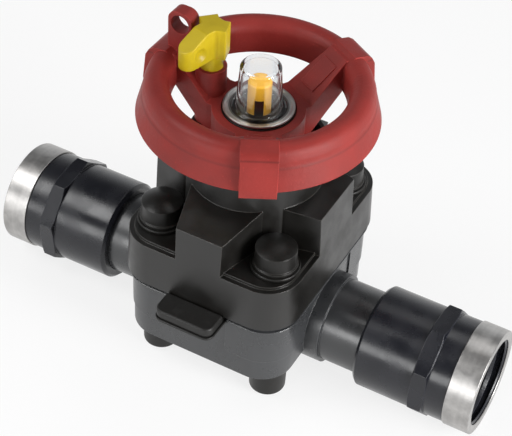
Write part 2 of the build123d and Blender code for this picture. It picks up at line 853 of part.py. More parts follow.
def make_lock_key():
    low = key_head_foot
    key = rod(key_foot_radius, key_foot, low + 1) + rod(key_core_radius, low, key_top)
    key += key_lobe(key_lobe_angles[0], key_wing_reach, key_wing_drop)
    for angle in key_lobe_angles[1:]:
        key += key_lobe(angle, key_lobe_reach, 0)
    return Rot(0, 0, spoke_angles[0]) * (Pos(barrel_distance, 0, 0) * (Rot(0, 0, -spoke_angles[0]) * key))


def make_lock_pin():
    return at_barrel(rod(pin_radius, pin_tip, pin_head_foot) + rod(pin_head_radius, pin_head_foot, pin_head_top))


def make_lock_spring():
    low = spring_seat + spring_end_gap + spring_wire / 2
    high = pin_head_foot - spring_end_gap - spring_wire / 2
    coil_radius = pin_head_radius - spring_wire / 2
    path = Helix(pitch=(high - low) / spring_turns, height=high - low, radius=coil_radius)
    section = Plane(origin=path @ 0, z_dir=path % 0) * RegularPolygon(spring_wire / 2, 8)
    return at_barrel(Pos(0, 0, low) * sweep(section, path=path, is_frenet=True))


def adaptor_upright():
    """An adaptor standing on its socket end, at its distance from the stem."""
    seat_radius = ring_radius - ring_wall - glue_gap
    mouth = ring_end - ring_lip
    soft = adaptor_chamfer
    body = spin([(pipe_radius + glue_gap, adaptor_start), (adaptor_radius - soft, adaptor_start),
                 (adaptor_radius, adaptor_start + soft), (adaptor_radius, ring_start), (seat_radius, ring_start),
                 (seat_radius, mouth), (thread_mouth_radius, mouth), (thread_wall_radius, mouth - thread_mouth_depth),
                 (thread_wall_radius, socket_stop + stop_width), (stop_bore, socket_stop + stop_width),
                 (stop_bore, socket_stop), (pipe_radius + glue_gap, socket_stop)])
    flat = Pos(0, 0, flange_start) * extrude(RegularPolygon(flange_across / 2, 8, major_radius=False),
                                             flange_end - flange_start)
    flat = Rot(0, 0, flange_turn) * flat
    soft = flange_chamfer
    round_off = spin([(0, flange_start), (flange_round - soft, flange_start), (flange_round + soft, flange_start + soft),
                      (flange_round + soft, flange_end - soft), (flange_round - soft, flange_end), (0, flange_end)])
    flat = (flat & round_off) - rod(adaptor_radius - 1, flange_start, flange_end)
    return body + flat


def steel_ring_upright():
    return spin([(ring_radius - ring_wall, ring_start), (ring_radius, ring_start), (ring_radius, ring_end),
                 (ring_mouth, ring_end), (ring_mouth, ring_end - ring_lip),
                 (ring_radius - ring_wall, ring_end - ring_lip)])


def far_side(shape):
    return Rot(0, 0, 180) * shape


pieces = {
    "valve_body": make_valve_body(),
    "base_inserts": make_base_inserts(),
    "diaphragm": make_diaphragm(),
    "bonnet": make_bonnet(),
    "bonnet_bolts": make_bonnet_bolts(),
    "bolt_nuts": make_bolt_nuts(),
    "top_washers": make_top_washers(),
    "bottom_washers": make_bottom_washers(),
    "top_caps": make_top_caps(),
    "bottom_caps": make_bottom_caps(),
    "lower_thrust_washer": make_lower_thrust_washer(),
    "upper_thrust_washer": make_upper_thrust_washer(),
    "bearing_nut": make_bearing_nut(),
    "bush_o_ring": make_bush_o_ring(),
    "spindle_o_ring": make_spindle_o_ring(),
    "lock_ring": make_lock_ring(),
    "threaded_bush": make_threaded_bush(),
    "spindle": make_spindle(),
    "position_indicator": make_position_indicator(),
    "compressor": make_compressor(),
    "compressor_pin": make_compressor_pin(),
    "diaphragm_stud": make_diaphragm_stud(),
    "handwheel": make_handwheel(),
    "hub_nut": make_hub_nut(),
    "hub_disc": make_hub_disc(),
    "clear_cap": make_clear_cap(),
    "lock_key": make_lock_key(),
    "lock_pin": make_lock_pin(),
    "lock_spring": make_lock_spring(),
    "outlet_adaptor": lay_along_x(adaptor_upright()),
    "inlet_adaptor": far_side(lay_along_x(adaptor_upright())),
    "outlet_ring": lay_along_x(steel_ring_upright()),
    "inlet_ring": far_side(lay_along_x(steel_ring_upright())),
}

os.makedirs("parts", exist_ok=True)
for name, shape in pieces.items():
    solid = Compound(children=shape) if isinstance(shape, list) else shape
    export_step(solid, "parts/" + name + ".step")
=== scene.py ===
from math import cos, hypot, pi, radians, sin, sqrt

import bmesh
import bpy
from mathutils import Matrix, Vector


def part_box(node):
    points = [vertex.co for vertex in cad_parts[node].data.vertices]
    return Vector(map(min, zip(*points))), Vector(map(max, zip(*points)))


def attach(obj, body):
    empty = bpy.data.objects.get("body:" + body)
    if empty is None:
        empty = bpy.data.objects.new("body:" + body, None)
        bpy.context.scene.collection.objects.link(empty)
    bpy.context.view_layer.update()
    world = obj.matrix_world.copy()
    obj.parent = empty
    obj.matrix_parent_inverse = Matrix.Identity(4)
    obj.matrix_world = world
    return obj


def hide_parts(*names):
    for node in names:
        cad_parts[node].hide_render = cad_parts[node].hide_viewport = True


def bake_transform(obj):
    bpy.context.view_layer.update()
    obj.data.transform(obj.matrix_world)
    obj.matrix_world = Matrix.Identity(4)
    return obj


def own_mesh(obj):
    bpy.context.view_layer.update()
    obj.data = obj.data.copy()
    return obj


bl_info = {
    "name": "Diaphragm valve looks",
    "version": (1, 0, 0),
    "blender": (4, 5, 0),
    "location": "View3D > Sidebar > Valve",
    "description": "Builds the visible pieces, finishes and studio of a hand-operated diaphragm valve",
    "category": "Object",
}

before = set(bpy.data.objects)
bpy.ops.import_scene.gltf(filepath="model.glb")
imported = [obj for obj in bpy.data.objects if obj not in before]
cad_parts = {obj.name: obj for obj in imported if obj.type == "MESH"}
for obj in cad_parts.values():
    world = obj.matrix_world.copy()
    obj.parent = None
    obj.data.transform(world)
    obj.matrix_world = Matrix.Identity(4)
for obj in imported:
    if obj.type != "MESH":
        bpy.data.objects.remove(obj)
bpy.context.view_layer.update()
mm = 0.001
axis_height = 20.5 * mm

# Places on the CAD solids, in millimetres and degrees
spoke_angles = (178.5, 58.5, -61.5)
indicator_angle = -62.0
barrel_place = (-19.493, 0.510)
key_wing_angle = -105.0
body_lip_top = 41.8
sheet_front = -35.3
skirt_foot = (103.5, 42.8)
rim_crease = (111.5, 41.1)
roll_end = (115.74, 39.53)

# Near-black painted shade for the seams, the wheel's creases and the indicator's slot
painted_shade_black = (0.003, 0.003, 0.003, 1.0)


# Shader and geometry graphs


class Value:
    """A socket that can be used in sums; each operator adds a Math node."""

    def __init__(self, graph, socket):
        self.graph = graph
        self.socket = socket

    def math(self, operation, *others):
        node = self.graph.node("ShaderNodeMath", {"operation": operation})
        for slot, item in enumerate((self, *others)):
            self.graph.feed(node.inputs[slot], item)
        return Value(self.graph, node.outputs[0])

    def reflected(self, operation, other):
        node = self.graph.node("ShaderNodeMath", {"operation": operation})
        self.graph.feed(node.inputs[0], other)
        self.graph.feed(node.inputs[1], self)
        return Value(self.graph, node.outputs[0])

    def __add__(self, other):
        return self.math("ADD", other)

    def __radd__(self, other):
        return self.reflected("ADD", other)

    def __sub__(self, other):
        return self.math("SUBTRACT", other)

    def __rsub__(self, other):
        return self.reflected("SUBTRACT", other)

    def __mul__(self, other):
        return self.math("MULTIPLY", other)

    def __rmul__(self, other):
        return self.reflected("MULTIPLY", other)

    def __pow__(self, other):
        return self.math("POWER", other)

    def step(self, low, high):
        """0 below low, 1 above high and a smooth rise between them."""
        node = self.graph.node("ShaderNodeMapRange", {"interpolation_type": "SMOOTHSTEP"})
        self.graph.feed(node.inputs[0], self)
        node.inputs[1].default_value = low
        node.inputs[2].default_value = high
        return Value(self.graph, node.outputs[0])


class Graph:
    """A node tree with one method that adds any node."""

    def __init__(self, tree):
        self.tree = tree

    def feed(self, socket, item):
        if isinstance(item, Value):
            self.tree.links.new(item.socket, socket)
        elif isinstance(item, bpy.types.NodeSocket):
            self.tree.links.new(item, socket)
        else:
            socket.default_value = item

    def node(self, kind, settings=None, values=None):
        made = self.tree.nodes.new(kind)
        for key, item in (settings or {}).items():
            setattr(made, key, item)
        for key, item in (values or {}).items():
            self.feed(made.inputs[key], item)
        return made

    def value(self, kind, settings=None, values=None, output=0):
        return Value(self, self.node(kind, settings, values).outputs[output])


finishes = {}


class Finish(Graph):
    """A material whose colour, roughness and bump come from sums of noises, kept in finishes."""

    def __init__(self, name, **constants):
        self.material = bpy.data.materials.new(name)
        finishes[name] = self.material
        self.material.use_nodes = True
        super().__init__(self.material.node_tree)
        self.tree.nodes.clear()
        self.shader = self.node("ShaderNodeBsdfPrincipled", values=constants)
        out = self.node("ShaderNodeOutputMaterial")
        self.tree.links.new(self.shader.outputs[0], out.inputs[0])
        self.place = self.node("ShaderNodeTexCoord").outputs["Object"]

    def noise(self, scale, detail=2.0, rough=0.5, vector=None):
        values = {"Vector": vector or self.place, "Scale": scale, "Detail": detail,
                  "Roughness": rough}
        return self.value("ShaderNodeTexNoise", values=values)

    def split(self):
        parts = self.node("ShaderNodeSeparateXYZ", values={0: self.place})
        return [Value(self, parts.outputs[i]) for i in range(3)]

    def join(self, x, y, z):
        return self.node("ShaderNodeCombineXYZ", values={0: x, 1: y, 2: z}).outputs[0]

    def mix(self, factor, low, high):
        made = self.node("ShaderNodeMix", {"data_type": "RGBA"})
        self.feed(made.inputs[0], factor)
        self.feed(made.inputs[6], low)
        self.feed(made.inputs[7], high)
        return made.outputs[2]

    def edge(self, reach):
        """A normal that rounds every edge, and a mask that is 1 on the edges."""
        soft = self.node("ShaderNodeBevel", {"samples": 4}, {"Radius": reach}).outputs[0]
        flat = self.node("ShaderNodeNewGeometry").outputs["Normal"]
        dot = self.node("ShaderNodeVectorMath", {"operation": "DOT_PRODUCT"}, {0: soft, 1: flat})
        return soft, 1 - Value(self, dot.outputs["Value"]).step(0.86, 1.0)

    def finish(self, colour, roughness, height=None, depth=0.1 * mm, normal=None, strength=1.0):
        self.feed(self.shader.inputs["Base Color"], colour)
        self.feed(self.shader.inputs["Roughness"], roughness)
        if height is not None:
            bump = self.node("ShaderNodeBump", values={
                "Strength": strength, "Distance": depth, "Height": height})
            if normal is not None:
                self.feed(bump.inputs["Normal"], normal)
            normal = bump.outputs[0]
        if normal is not None:
            self.feed(self.shader.inputs["Normal"], normal)


def shade(colour, amount):
    """A colour made darker or lighter."""
    return tuple(min(1.0, c * amount) for c in colour[:3]) + (1.0,)


def between(value, low, high, soft=0.06 * mm):
    """1 inside a range of a coordinate and 0 outside it."""
    return value.step(low - soft, low + soft) * (1 - value.step(high - soft, high + soft))


def bonnet_seam(paint):
    """A painted shade line along the bonnet's foot, where the gap to the body lies in shadow."""
    height = paint.split()[2]
    return between(height, 43.2 * mm, 43.95 * mm)


def body_seam(paint):
    """A painted shade line along the lip of the body, where the gap under the bonnet lies in shadow."""
    height = paint.split()[2]
    return between(height, 41.85 * mm, 43.6 * mm) * 0.95


def wheel_folds(paint):
    """The shaded lines under the roll and across the grips."""
    x, y, z = paint.split()
    radius = (x * x + y * y) ** 0.5
    fold = between(z, 111.1 * mm, 111.9 * mm, 0.4 * mm) * between(radius, 38.7 * mm, 41.0 * mm) * 0.22
    for angle in spoke_angles:
        turn = radians(angle)
        out = x * cos(turn) + y * sin(turn)
        across = y * cos(turn) - x * sin(turn)
        grip = between(across, -6.4 * mm, 6.4 * mm) * out.step(39.4 * mm, 39.6 * mm)
        fold = fold.math("MAXIMUM", grip * between(z, 115.7 * mm, 116.3 * mm, 0.15 * mm) * 0.35)
    return fold


def indicator_window(paint):
    """The dark slot on the front of the indicator: painted shade standing in for a recessed slot."""
    x, y, z = paint.split()
    turn = radians(indicator_angle)
    out = x * cos(turn) + y * sin(turn)
    across = y * cos(turn) - x * sin(turn)
    slot = between(across, -1.55 * mm, 1.55 * mm) * out.step(1.0 * mm, 1.3 * mm)
    return slot * (1 - z.step(110.8 * mm, 111.1 * mm))


def moulded(name, colour, roughness=0.45, grain=0.5, grain_size=0.5, edge_reach=0.35, gloss=0.5,
            edge_light=1.5, fleck=0.0, dark=None):
    """Moulded plastic: fine spark-eroded grain, faint blotches, and paler edges that are partly wear
    and partly a painted highlight.
    """
    paint = Finish(name, **{"IOR": 1.5, "Specular IOR Level": gloss})
    fine = paint.noise(1.0 / (grain_size * mm), 3.0, 0.6)
    blotch = paint.noise(90.0, 3.0, 0.55).step(0.3, 0.72)
    flow = paint.noise(22.0, 2.0, 0.5).step(0.35, 0.7)
    soft, rim = paint.edge(edge_reach * mm)
    base = paint.mix(blotch * 0.55 + flow * 0.35, shade(colour, 0.84), shade(colour, 1.15))
    speck = paint.noise(2.4 / (grain_size * mm), 2.0, 0.5).step(0.66, 0.8)
    base = paint.mix(speck * fleck, base, shade(colour, 1.9))
    # Painted highlight and wear: the edges are lightened by edge_light, more where the blotches are
    surface_tone = paint.mix(rim * (0.35 + blotch * 0.65), base, shade(colour, edge_light))
    # Painted shade: the mask pulls the colour towards near-black in gaps, creases and the slot
    if dark:
        surface_tone = paint.mix(dark(paint), surface_tone, painted_shade_black)
    rough = roughness - 0.1 + blotch * 0.15 + flow * 0.04 + fine * 0.08
    paint.finish(surface_tone, rough, fine, 0.05 * mm, soft, grain)


def turned(name, colour, along="x", roughness=0.28, contrast=0.5, centre=(0.0, 0.0), dish=None):
    """Bright turned metal: fine lines that run round an axis, with faint stains and nicks."""
    paint = Finish(name, **{"Metallic": 1.0})
    x, y, z = paint.split()
    if along == "x":
        run, a, b = x, y - centre[0], z - centre[1]
    else:
        run, a, b = z, x - centre[0], y - centre[1]
    radius = (a * a + b * b) ** 0.5
    turn = a.math("ARCTAN2", b)
    lines = paint.join(run * 5200.0, radius * 5200.0, turn * 2.5)
    fine = paint.noise(1.0, 3.0, 0.65, lines)
    bands = paint.noise(0.16, 2.0, 0.5, lines)
    stain = paint.noise(160.0, 4.0, 0.6).step(0.35, 0.7)
    dents = paint.noise(95.0, 2.0, 0.5)
    soft = paint.edge(0.2 * mm)[0]
    surface_tone = bands * contrast * 0.5 + stain * 0.4 + dents * 0.2
    base = paint.mix(surface_tone, shade(colour, 0.6), shade(colour, 1.3))
    if dish:
        reach, top = dish
        inside = between(radius, 0.0, reach) * (1 - run.step(top - 0.1 * mm, top + 0.1 * mm))
        base = paint.mix(inside, base, shade(colour, 0.3))
    rough = roughness + fine * 0.16 + stain * 0.08
    paint.finish(base, rough, fine * 0.3 + bands * 0.3 + dents * 9.0, 0.012 * mm, soft, 0.8)


def clear_plastic(name, colour):
    """Clear moulded plastic with faint scuffs and a polished skin."""
    paint = Finish(name, **{"Transmission Weight": 1.0, "IOR": 1.09, "Specular IOR Level": 0.6,
                            "Coat Weight": 1.0, "Coat Roughness": 0.05, "Coat IOR": 1.6})
    scuff = paint.noise(700.0, 3.0, 0.6)
    haze = paint.noise(120.0, 3.0, 0.6).step(0.45, 0.8)
    paint.finish(colour, 0.02 + haze * 0.06, scuff, 0.01 * mm, None, 0.15)


def rubber(name, colour):
    """Matt black elastomer with a little dust and a painted highlight along its edges."""
    paint = Finish(name, **{"IOR": 1.45})
    dust = paint.noise(260.0, 4.0, 0.6).step(0.5, 0.75)
    fine = paint.noise(2600.0, 2.0, 0.5)
    soft, rim = paint.edge(0.5 * mm)
    # Paler in the dust patches, and paler along the edges as a painted highlight
    base = paint.mix(dust * 0.35 + rim * 0.3, colour, shade(colour, 2.4))
    paint.finish(base, 0.5 + dust * 0.2, fine, 0.02 * mm, soft, 0.4)


# Mesh helpers


def new_object(name, mesh):
    made = bpy.data.objects.new(name, mesh)
    bpy.context.scene.collection.objects.link(made)
    return made


def bake_down(obj):
    """Turn an object with modifiers into a plain mesh."""
    graph = bpy.context.evaluated_depsgraph_get()
    graph.update()
    mesh = bpy.data.meshes.new_from_object(obj.evaluated_get(graph), depsgraph=graph)
    obj.modifiers.clear()
    obj.data = mesh
    return obj


def cad_copy(node, name, change=None):
    """A copy of a CAD node with joined faces, changed by a function on its bmesh."""
    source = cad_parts[node].data
    work = bmesh.new()
    work.from_mesh(source)
    bmesh.ops.remove_doubles(work, verts=work.verts, dist=0.002 * mm)
    bmesh.ops.dissolve_limit(work, angle_limit=radians(0.6), verts=work.verts, edges=work.edges)
    if change:
        change(work)
    mesh = bpy.data.meshes.new(name)
    work.to_mesh(mesh)
    work.free()
    return new_object(name, mesh)


def rework(obj, change):
    """Run a function on the bmesh of a plain object."""
    work = bmesh.new()
    work.from_mesh(obj.data)
    change(work)
    work.to_mesh(obj.data)
    work.free()


def soften(obj, width, segments=3, angle=28.0, late=None):
    """Round every edge sharper than an angle, make a late change and even out the shading."""
    bevel = obj.modifiers.new("edges", "BEVEL")
    bevel.width = width
    bevel.segments = segments
    bevel.limit_method = "ANGLE"
    bevel.angle_limit = radians(angle)
    bevel.use_clamp_overlap = True
    bevel.miter_outer = "MITER_ARC"
    bake_down(obj)
    if late:
        rework(obj, late)
    for face in obj.data.polygons:
        face.use_smooth = True
    level = obj.modifiers.new("normals", "WEIGHTED_NORMAL")
    level.keep_sharp = True
    level.weight = 60
    obj.data.set_sharp_from_angle(angle=radians(46.0))
    return bake_down(obj)


def dress(obj, body, slot, finish, *nodes):
    """Give a piece its finish and its body, and hide the nodes that it replaces; the slot argument is
    not used.
    """
    obj.data.materials.clear()
    obj.data.materials.append(finishes[finish])
    for face in obj.data.polygons:
        face.material_index = 0
    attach(obj, body)
    if nodes:
        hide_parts(*nodes)


def paint_node(node, finish):
    """Give a CAD node, shown as it is, one finish."""
    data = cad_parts[node].data
    data.materials.clear()
    data.materials.append(finishes[finish])


def lathe(name, profile, steps):
    """Turn a closed outline of (radius, height) points about Z."""
    work = bmesh.new()
    rings = []
    for index in range(steps):
        turn = 2 * pi * index / steps
        rings.append([work.verts.new((r * cos(turn), r * sin(turn), z)) for r, z in profile])
    count = len(profile)
    for index in range(steps):
        here, there = rings[index], rings[(index + 1) % steps]
        for k in range(count):
            j = (k + 1) % count
            work.faces.new((here[k], there[k], there[j], here[j]))
    bmesh.ops.remove_doubles(work, verts=work.verts, dist=0.001 * mm)
    bmesh.ops.recalc_face_normals(work, faces=work.faces)
    mesh = bpy.data.meshes.new(name)
    work.to_mesh(mesh)
    work.free()
    return new_object(name, mesh)


def add_rod(work, radius, low, high, place, steps=24):
    """Add a closed upright rod to a bmesh."""
    bmesh.ops.create_cone(
        work, cap_ends=True, segments=steps, radius1=radius, radius2=radius, depth=high - low,
        matrix=Matrix.Translation((place[0], place[1], (low + high) / 2)))


def key_cutter():
    """The flutes between the lobes of the key's head and the thumb dents beside its wing."""
    flutes = ((75.0, 6.4, 1.9), (-47.0, 5.6, 1.5), (-163.0, 5.6, 1.5))
    low, high = 120.5 * mm, 134 * mm
    dent_reach, dent_side, dent_height, dent_radius = 8.6, 5.75, 125.2, 3.7
    work = bmesh.new()
    barrel = Vector((*barrel_place, 0.0)) * mm
    for angle, distance, radius in flutes:
        turn = radians(angle)
        place = barrel + Vector((cos(turn), sin(turn), 0.0)) * distance * mm
        add_rod(work, radius * mm, low - mm, high, place)
    wing = radians(key_wing_angle)
    for side in (-1, 1):
        place = barrel + Vector((cos(wing), sin(wing), 0.0)) * dent_reach * mm
        place += Vector((-sin(wing), cos(wing), 0.0)) * side * dent_side * mm
        place.z = dent_height * mm
        bmesh.ops.create_icosphere(
            work, subdivisions=3, radius=dent_radius * mm, matrix=Matrix.Translation(place))
    mesh = bpy.data.meshes.new("key_cutter")
    work.to_mesh(mesh)
    work.free()
    return new_object("key_cutter", mesh)


def carve(obj, cutter):
    """Take one closed shape from another."""
    cut = obj.modifiers.new("carve", "BOOLEAN")
    cut.object = cutter
    cut.operation = "DIFFERENCE"
    cut.solver = "EXACT"
    cut.use_self = True
    bake_down(obj)
    bpy.data.objects.remove(cutter)
    return obj


def round_off(obj, voxel, rounds):
    """Rebuild a closed shape in fine even faces and smooth its edges, as a moulding's are."""
    fine = obj.modifiers.new("remesh", "REMESH")
    fine.mode = "VOXEL"
    fine.voxel_size = voxel
    even = obj.modifiers.new("smooth", "SMOOTH")
    even.factor = 0.5
    even.iterations = rounds
    bake_down(obj)
    for face in obj.data.polygons:
        face.use_smooth = True


# Geometry Nodes


def geometry_tree(name, inputs):
    """A geometry tree with the given inputs and one geometry output."""
    tree = bpy.data.node_groups.new(name, "GeometryNodeTree")
    for label, kind, default in inputs:
        socket = tree.interface.new_socket(label, in_out="INPUT", socket_type=kind)
        if default is not None:
            socket.default_value = default
    tree.interface.new_socket("Geometry", in_out="OUTPUT", socket_type="NodeSocketGeometry")
    return tree, Graph(tree)


def run_tree(tree, name, settings):
    """Make an object from a geometry tree, with its inputs set by identifier."""
    made = new_object(name, bpy.data.meshes.new(name))
    modifier = made.modifiers.new("tree", "NODES")
    modifier.node_group = tree
    for item in tree.interface.items_tree:
        if item.item_type == "SOCKET" and item.in_out == "INPUT" and item.name in settings:
            modifier[item.identifier] = settings[item.name]
    return bake_down(made)


def corner_tree():
    """Copies of one piece at the four corners of a rectangle."""
    tree, graph = geometry_tree("four_corners", [
        ("Piece", "NodeSocketObject", None), ("Spacing X", "NodeSocketFloat", 46 * mm),
        ("Spacing Y", "NodeSocketFloat", 52 * mm), ("Turn Seed", "NodeSocketInt", 3),
        ("Material", "NodeSocketMaterial", None)])
    given = graph.node("NodeGroupInput")
    grid = graph.node("GeometryNodeMeshGrid", values={
        "Size X": given.outputs["Spacing X"], "Size Y": given.outputs["Spacing Y"],
        "Vertices X": 2, "Vertices Y": 2})
    piece = graph.node("GeometryNodeObjectInfo", values={"Object": given.outputs["Piece"]})
    turn = graph.node("FunctionNodeRandomValue", {"data_type": "FLOAT"})
    turn.inputs[3].default_value = 2 * pi
    graph.feed(turn.inputs["Seed"], given.outputs["Turn Seed"])
    spun = graph.node("ShaderNodeCombineXYZ", values={2: turn.outputs[1]})
    copies = graph.node("GeometryNodeInstanceOnPoints", values={
        "Points": grid.outputs["Mesh"], "Instance": piece.outputs["Geometry"],
        "Rotation": spun.outputs[0]})
    real = graph.node("GeometryNodeRealizeInstances", values={0: copies.outputs[0]})
    coloured = graph.node("GeometryNodeSetMaterial", values={
        "Geometry": real.outputs[0], "Material": given.outputs["Material"]})
    graph.node("NodeGroupOutput", values={0: coloured.outputs[0]})
    return tree


def thread_tree():
    """A ridge of trapezoid section that winds along an axis."""
    tree, graph = geometry_tree("pipe_thread", [
        ("Radius", "NodeSocketFloat", 16 * mm), ("Pitch", "NodeSocketFloat", 2.309 * mm),
        ("Turns", "NodeSocketFloat", 8.0), ("Ridge Height", "NodeSocketFloat", 1.3 * mm),
        ("Start", "NodeSocketVector", None), ("Turned", "NodeSocketVector", None),
        ("Material", "NodeSocketMaterial", None)])
    given = graph.node("NodeGroupInput")
    pitch = Value(graph, given.outputs["Pitch"])
    turns = Value(graph, given.outputs["Turns"])
    spiral = graph.node("GeometryNodeCurveSpiral", values={
        "Resolution": 72, "Rotations": given.outputs["Turns"], "Start Radius": given.outputs["Radius"],
        "End Radius": given.outputs["Radius"], "Height": pitch * turns})
    upright = graph.node("GeometryNodeSetCurveNormal", {"mode": "Z_UP"}, {"Curve": spiral.outputs[0]})
    section = graph.node("GeometryNodeCurvePrimitiveQuadrilateral", {"mode": "TRAPEZOID"}, {
        "Height": given.outputs["Ridge Height"], "Bottom Width": pitch * 0.86,
        "Top Width": pitch * 0.2, "Offset": 0.0})
    laid = graph.node("GeometryNodeTransform", values={
        "Geometry": section.outputs[0], "Rotation": (0.0, 0.0, pi)})
    ridge = graph.node("GeometryNodeCurveToMesh", values={
        "Curve": upright.outputs[0], "Profile Curve": laid.outputs[0], "Fill Caps": True})
    placed = graph.node("GeometryNodeTransform", values={
        "Geometry": ridge.outputs[0], "Translation": given.outputs["Start"],
        "Rotation": given.outputs["Turned"]})
    real = graph.node("GeometryNodeRealizeInstances", values={0: placed.outputs[0]})
    coloured = graph.node("GeometryNodeSetMaterial", values={
        "Geometry": real.outputs[0], "Material": given.outputs["Material"]})
    graph.node("NodeGroupOutput", values={0: coloured.outputs[0]})
    return tree


def at_corners(name, piece, height, finish, spacing):
    """Stand copies of a piece, made at the origin, on the four bolt places."""
    made = run_tree(corner_tree(), name, {
        "Piece": piece, "Spacing X": spacing[0], "Spacing Y": spacing[1], "Material": finishes[finish]})
    bpy.data.objects.remove(piece)
    made.data.transform(Matrix.Translation((0, 0, height)))
    return made


# Settings


class ValveSizes(bpy.types.PropertyGroup):
    edge: bpy.props.FloatProperty(
        name="Moulded edge", description="Radius of the rounded edges on the mouldings",
        default=0.5 * mm, min=0.0, unit="LENGTH")
    wheel_edge: bpy.props.FloatProperty(
        name="Wheel edge", description="Radius of the rounded edges on the handwheel",
        default=0.6 * mm, min=0.0, unit="LENGTH")
    bolt_spacing_x: bpy.props.FloatProperty(
        name="Bolt spacing X", description="Distance between the bolts along the flow",
        default=46 * mm, unit="LENGTH")
    bolt_spacing_y: bpy.props.FloatProperty(
        name="Bolt spacing Y", description="Distance between the bolts across the flow",
        default=52 * mm, unit="LENGTH")
    cover_straight: bpy.props.FloatProperty(
        name="Cover wall", description="Height of the straight wall of a bolt cover",
        default=7.4 * mm, min=4 * mm, unit="LENGTH")
    cover_dome: bpy.props.FloatProperty(
        name="Cover dome", description="Rise of the domed top of a bolt cover",
        default=1.9 * mm, min=0.2 * mm, unit="LENGTH")
    thread_pitch: bpy.props.FloatProperty(
        name="Thread pitch", description="Pitch of the pipe thread in the adaptors",
        default=2.309 * mm, unit="LENGTH")
    thread_outer: bpy.props.FloatProperty(
        name="Thread root radius", description="Radius of the bottom of the thread in the adaptors",
        default=16.62 * mm, unit="LENGTH")
    thread_inner: bpy.props.FloatProperty(
        name="Thread crest radius", description="Radius of the crest of the thread in the adaptors",
        default=15.2 * mm, unit="LENGTH")


class ValveColours(bpy.types.PropertyGroup):
    wheel: bpy.props.FloatVectorProperty(
        name="Wheel", description="Colour of the handwheel", subtype="COLOR", size=4,
        default=(0.22, 0.021, 0.017, 1.0))
    key: bpy.props.FloatVectorProperty(
        name="Key", description="Colour of the winged key", subtype="COLOR", size=4,
        default=(0.46, 0.34, 0.008, 1.0))
    mark: bpy.props.FloatVectorProperty(
        name="Indicator", description="Colour of the position indicator", subtype="COLOR", size=4,
        default=(0.72, 0.38, 0.02, 1.0))
    body: bpy.props.FloatVectorProperty(
        name="Body", description="Colour of the weir body", subtype="COLOR", size=4,
        default=(0.027, 0.028, 0.030, 1.0))
    bonnet: bpy.props.FloatVectorProperty(
        name="Bonnet", description="Colour of the bonnet and the bolt covers", subtype="COLOR", size=4,
        default=(0.0055, 0.0049, 0.0040, 1.0))
    pipe: bpy.props.FloatVectorProperty(
        name="Adaptors", description="Colour of the glued adaptors", subtype="COLOR", size=4,
        default=(0.009, 0.0095, 0.0135, 1.0))
    steel: bpy.props.FloatVectorProperty(
        name="Steel", description="Colour of the stainless pieces", subtype="COLOR", size=4,
        default=(0.6, 0.585, 0.57, 1.0))


# Pieces


class VALVE_OT_finishes(bpy.types.Operator):
    """Make the plastics, metals and rubber"""
    bl_idname = "valve.finishes"
    bl_label = "Finishes"

    def execute(self, context):
        colours = context.scene.valve_colours
        bonnet, steel = tuple(colours.bonnet), tuple(colours.steel)
        moulded("pipe_grey", tuple(colours.body), roughness=0.27, grain=0.3, gloss=0.75,
                edge_light=3.0, fleck=0.1, dark=body_seam)
        moulded("adaptor_grey", tuple(colours.pipe), roughness=0.23, grain=0.12, grain_size=0.7,
                edge_reach=0.3, edge_light=5.0, fleck=0.1)
        moulded("bonnet_black", bonnet, roughness=0.35, grain=0.5, grain_size=0.45,
                edge_reach=0.4, gloss=0.62, edge_light=9.0, fleck=0.15, dark=bonnet_seam)
        moulded("cap_black", bonnet, roughness=0.38, grain=0.3, grain_size=0.4,
                edge_reach=0.4, gloss=0.4, edge_light=7.0, fleck=0.1)
        moulded("wheel_red", tuple(colours.wheel), roughness=0.48, grain=1.6, grain_size=0.9,
                edge_reach=0.4, gloss=0.25, edge_light=2.0, fleck=1.1, dark=wheel_folds)
        moulded("key_yellow", tuple(colours.key), roughness=0.36, grain=0.4, gloss=0.3,
                edge_light=1.2)
        moulded("mark_yellow", tuple(colours.mark), roughness=0.36, grain=0.3, edge_reach=0.3,
                edge_light=1.15, dark=indicator_window)
        moulded("bearing_white", (0.75, 0.75, 0.72, 1.0), roughness=0.4)
        turned("ring_steel", shade(steel, 0.78), "x", roughness=0.26, contrast=0.6,
               centre=(0.0, axis_height))
        turned("disc_steel", steel, "z", roughness=0.22, contrast=0.6,
               dish=(10.6 * mm, 112.0 * mm))
        turned("pin_steel", steel, "z", roughness=0.3, contrast=0.4)
        turned("brass", (0.78, 0.55, 0.24, 1.0), "z", roughness=0.3, contrast=0.4)
        turned("bush_brass", (0.05, 0.045, 0.04, 1.0), "z", roughness=0.4, contrast=0.4)
        clear_plastic("clear", (0.97, 0.98, 0.99, 1.0))
        rubber("rubber_black", (0.007, 0.0065, 0.0058, 1.0))
        return {"FINISHED"}


def cut_level(work, height):
    """Add a ring of edges at a height, without parting anything."""
    bmesh.ops.bisect_plane(
        work, geom=work.verts[:] + work.edges[:] + work.faces[:], dist=0.0005 * mm,
        plane_co=(0.0, 0.0, height * mm), plane_no=(0.0, 0.0, 1.0))


def seam_groove(work):
    """Step the top of the body's lip back, so that a dark line shows under the bonnet."""
    half_x, half_y, step = 34.0, 40.4, 1.5
    corner_x, corner_y, corner_reach = 20.5, 26.9, 11.6
    for height in (body_lip_top - 0.05, body_lip_top):
        cut_level(work, height)
    for vert in work.verts:
        x, y, z = abs(vert.co.x) / mm, abs(vert.co.y) / mm, vert.co.z / mm
        if x > corner_x and y > corner_y:
            outer = hypot(x - corner_x, y - corner_y) > corner_reach
        else:
            outer = x > 32.1 or y > 38.6
        if z > body_lip_top - 0.02 and outer:
            vert.co.x *= 1 - step / half_x
            vert.co.y *= 1 - step / half_y


